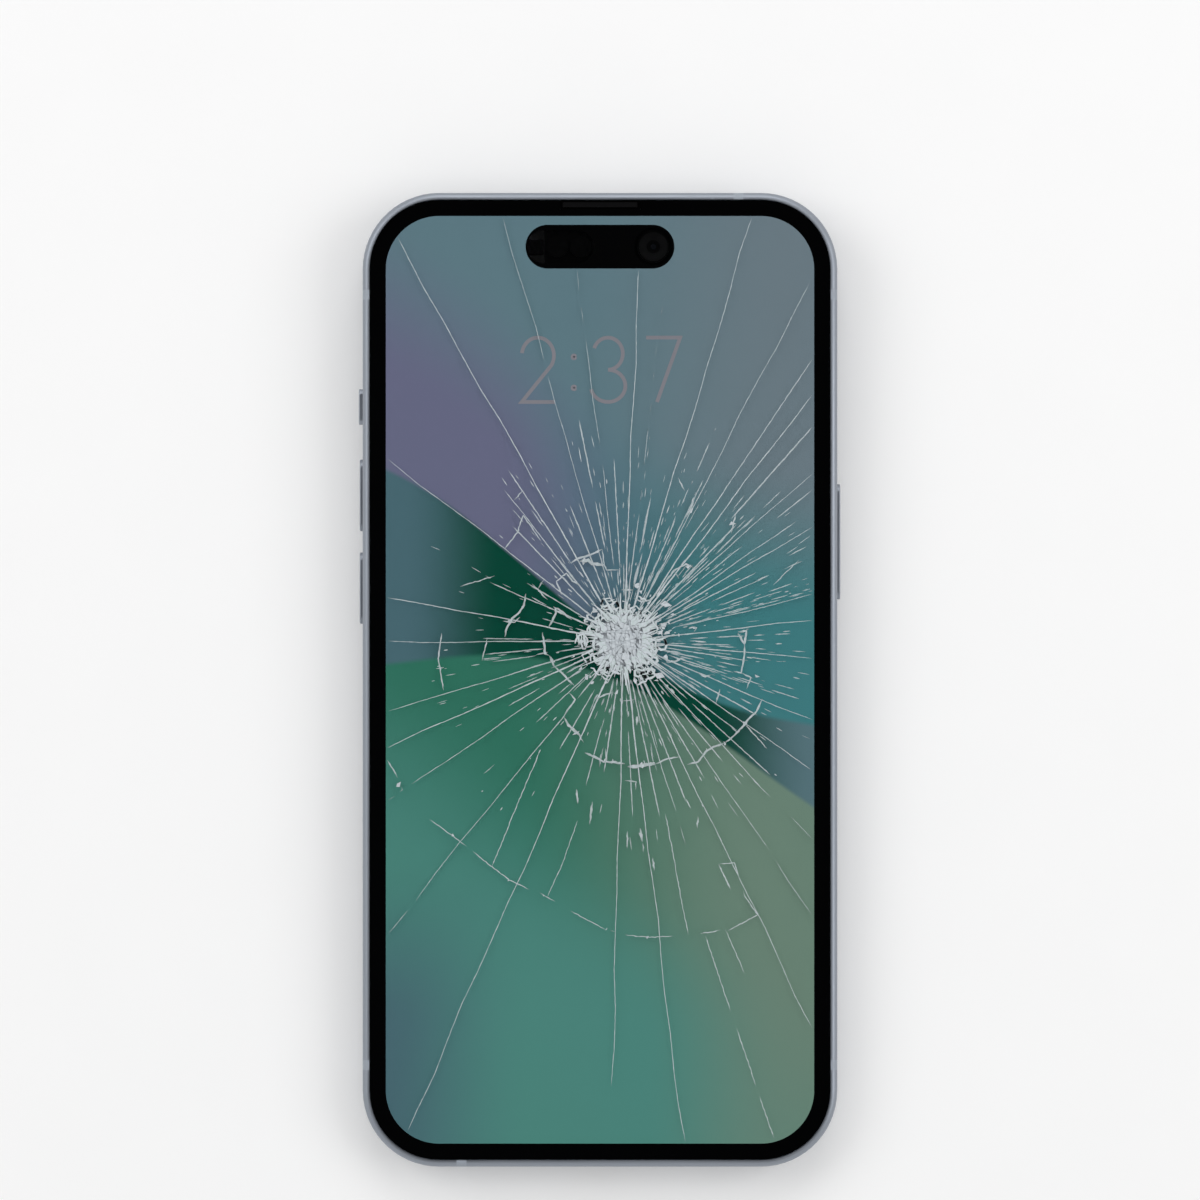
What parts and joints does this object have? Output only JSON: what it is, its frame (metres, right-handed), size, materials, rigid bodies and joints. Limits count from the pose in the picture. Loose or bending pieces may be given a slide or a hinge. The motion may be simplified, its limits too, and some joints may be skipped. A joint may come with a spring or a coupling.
{
  "type": "smartphone with shattered screen",
  "caption": "Slim slab touch-screen handset lying face up, its front glass shattered in a web of cracks spreading from a crushed pit near the middle.",
  "frame": {"origin": "middle of the body in plan, level with the faces of the rear lens rings, which are the lowest points", "axes": "+Z out of the screen, +Y towards the end with the earpiece, so the volume keys are on -X and the side key on +X"},
  "size_m": [0.0726, 0.1466, 0.0098],
  "materials": {
    "band": "satin anodised blue-grey, edges worn a little",
    "band_breaks": "satin, tinted to the band",
    "cover_glass": "polished, shattered",
    "back_glass": "opaque, coloured from behind, polished",
    "display": "lit panel behind the glass, dim",
    "steel": "plain sheet metal",
    "port_steel": "drawn sheet metal",
    "screw_steel": "turned",
    "seal": "soft foam",
    "ribbon": "amber film",
    "mesh": "black woven mesh",
    "black_plastic": "moulded",
    "sensor": "black",
    "lens_ring": "polished",
    "lens_window": "coated",
    "flash": "clear over a pale yellow emitter",
    "gold": "plated",
    "board": "lacquered",
    "battery": "black film",
    "adhesive": "white pull strips",
    "copper": "bare copper",
    "ferrite": "pressed sheet",
    "magnet": "nickel plated",
    "key_metal": "satin anodised, like the band",
    "card": "white"
  },
  "bodies": {
    "housing": {"frame": "band", "antenna_breaks": "band_breaks", "cover_glass": "cover_glass", "display_panel": "display", "display_plate": "steel", "display_gasket": "seal", "display_ribbon": "ribbon", "earpiece_mesh": "mesh", "earpiece_speaker": "black_plastic", "front_camera": "sensor", "face_sensor": "sensor", "light_sensor": "sensor", "sensor_bracket": "steel", "back_glass": "back_glass", "camera_rings": "lens_ring", "camera_windows": "lens_window", "upper_rear_camera": "sensor", "lower_rear_camera": "sensor", "camera_bracket": "steel", "flash_light": "flash", "rear_microphone": "gold", "logic_board": "board", "board_shields": "steel", "board_connectors": "black_plastic", "connector_cover": "steel", "battery": "battery", "battery_adhesive": "adhesive", "battery_ribbon": "ribbon", "charging_coil": "copper", "coil_shield": "ferrite", "magnet_ring": "magnet", "loudspeaker": "black_plastic", "vibration_motor": "steel", "bottom_microphone": "gold", "bottom_mesh": "mesh", "charging_port": "port_steel", "port_tongue": "black_plastic", "port_bracket": "steel", "port_ribbon": "ribbon", "left_key_bracket": "steel", "left_key_switches": "ribbon", "right_key_bracket": "steel", "right_key_switch": "ribbon", "ring_switch_base": "black_plastic", "card_reader": "steel", "end_screws": "screw_steel", "cover_screws": "steel", "inner_screws": "steel"},
    "switch": {"ring_switch": "key_metal"},
    "volume_up": {"volume_up_key": "key_metal"},
    "volume_down": {"volume_down_key": "key_metal"},
    "side": {"side_key": "key_metal"},
    "tray": {"card_tray": "key_metal", "subscriber_card": "card"}
  },
  "joints": [
    {"name": "volume_up_press", "type": "slide", "parent": "housing", "child": "volume_up", "axis": [1, 0, 0], "range_m": [0, 0.0003], "stiffness_N_per_m": 1500, "springref_m": -0.0003},
    {"name": "volume_down_press", "type": "slide", "parent": "housing", "child": "volume_down", "axis": [1, 0, 0], "range_m": [0, 0.0003], "stiffness_N_per_m": 1500, "springref_m": -0.0003},
    {"name": "side_key_press", "type": "slide", "parent": "housing", "child": "side", "axis": [-1, 0, 0], "range_m": [0, 0.0003], "stiffness_N_per_m": 1500, "springref_m": -0.0003},
    {"name": "ring_switch_slide", "type": "slide", "parent": "housing", "child": "switch", "axis": [0, 0, 1], "range_m": [-0.0012, 0]},
    {"name": "card_tray_slide", "type": "slide", "parent": "housing", "child": "tray", "axis": [-1, 0, 0], "range_m": [0, 0.015]}
  ]
}
